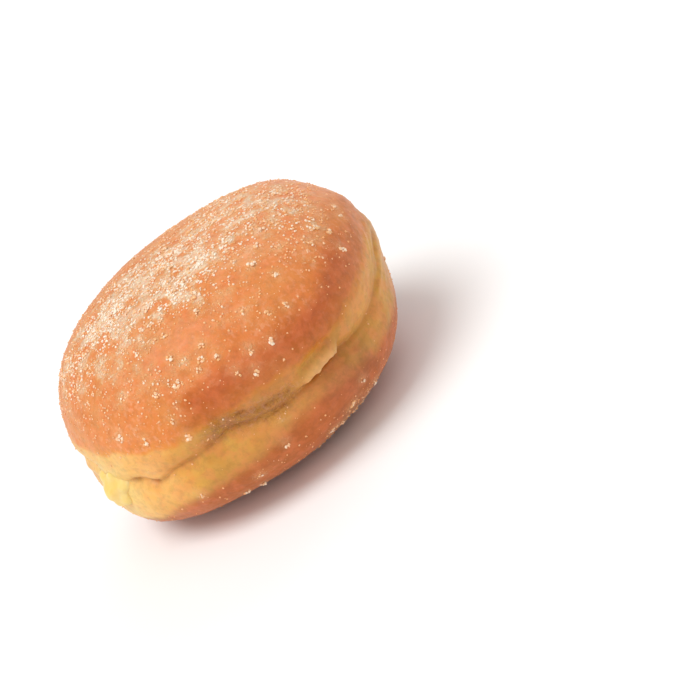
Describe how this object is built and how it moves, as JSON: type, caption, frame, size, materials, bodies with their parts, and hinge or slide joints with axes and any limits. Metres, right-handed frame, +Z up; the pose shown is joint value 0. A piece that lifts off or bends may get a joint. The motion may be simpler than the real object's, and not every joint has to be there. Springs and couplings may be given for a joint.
{
  "type": "mini berliner doughnut",
  "caption": "Small round filled doughnut: browned sugared crust, pale belt with a crease around its side, and custard showing at the filling hole.",
  "frame": {"origin": "middle of the flat spot on the underside that it rests on", "axes": "+Z up through the domed top, -Y towards the side that the picture shows, -X towards the side with the custard hole"},
  "size_m": [0.0609, 0.0605, 0.0363],
  "materials": {
    "crust": "browned fried dough with a soft sheen, a pale belt and sugar grains",
    "custard": "smooth moist yellow custard"
  },
  "bodies": {
    "root": {"dough": "crust", "custard": "custard"}
  },
  "joints": []
}
